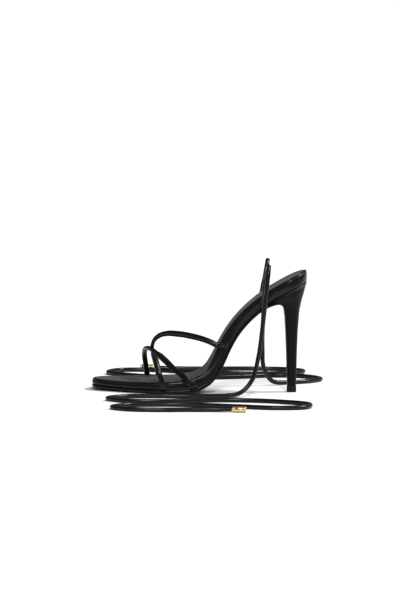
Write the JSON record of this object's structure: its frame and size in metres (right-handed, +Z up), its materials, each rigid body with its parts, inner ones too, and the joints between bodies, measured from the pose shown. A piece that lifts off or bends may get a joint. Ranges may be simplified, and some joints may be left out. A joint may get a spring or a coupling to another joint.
{
  "type": "lace up heeled sandal",
  "caption": "Black leather stiletto sandal with crossing rouleau straps over a bare forefoot and long ankle ties tipped in gold.",
  "frame": {"origin": "on the floor, in the middle of the shoe's length and width, its free ties and their aglets left out", "axes": "+Z up from the floor, -Y towards the toes, +Y towards the heel, +X towards the outer side of the left foot"},
  "size_m": [0.4029, 0.236, 0.1312],
  "materials": {
    "black_leather": "smooth, softly shiny",
    "sock_leather": "fine grain, matte",
    "sole_rubber": "smooth",
    "polished_gold": "polished"
  },
  "bodies": {
    "root": {"footbed": "black_leather", "sock": "sock_leather", "outsole": "sole_rubber", "heel": "black_leather", "heel_tip": "sole_rubber", "straps": "black_leather", "tie_tab_lateral": "black_leather", "tie_tab_medial": "black_leather", "tie_lateral": "black_leather", "tie_medial": "black_leather", "aglet_lateral": "polished_gold", "aglet_medial": "polished_gold"}
  },
  "joints": []
}
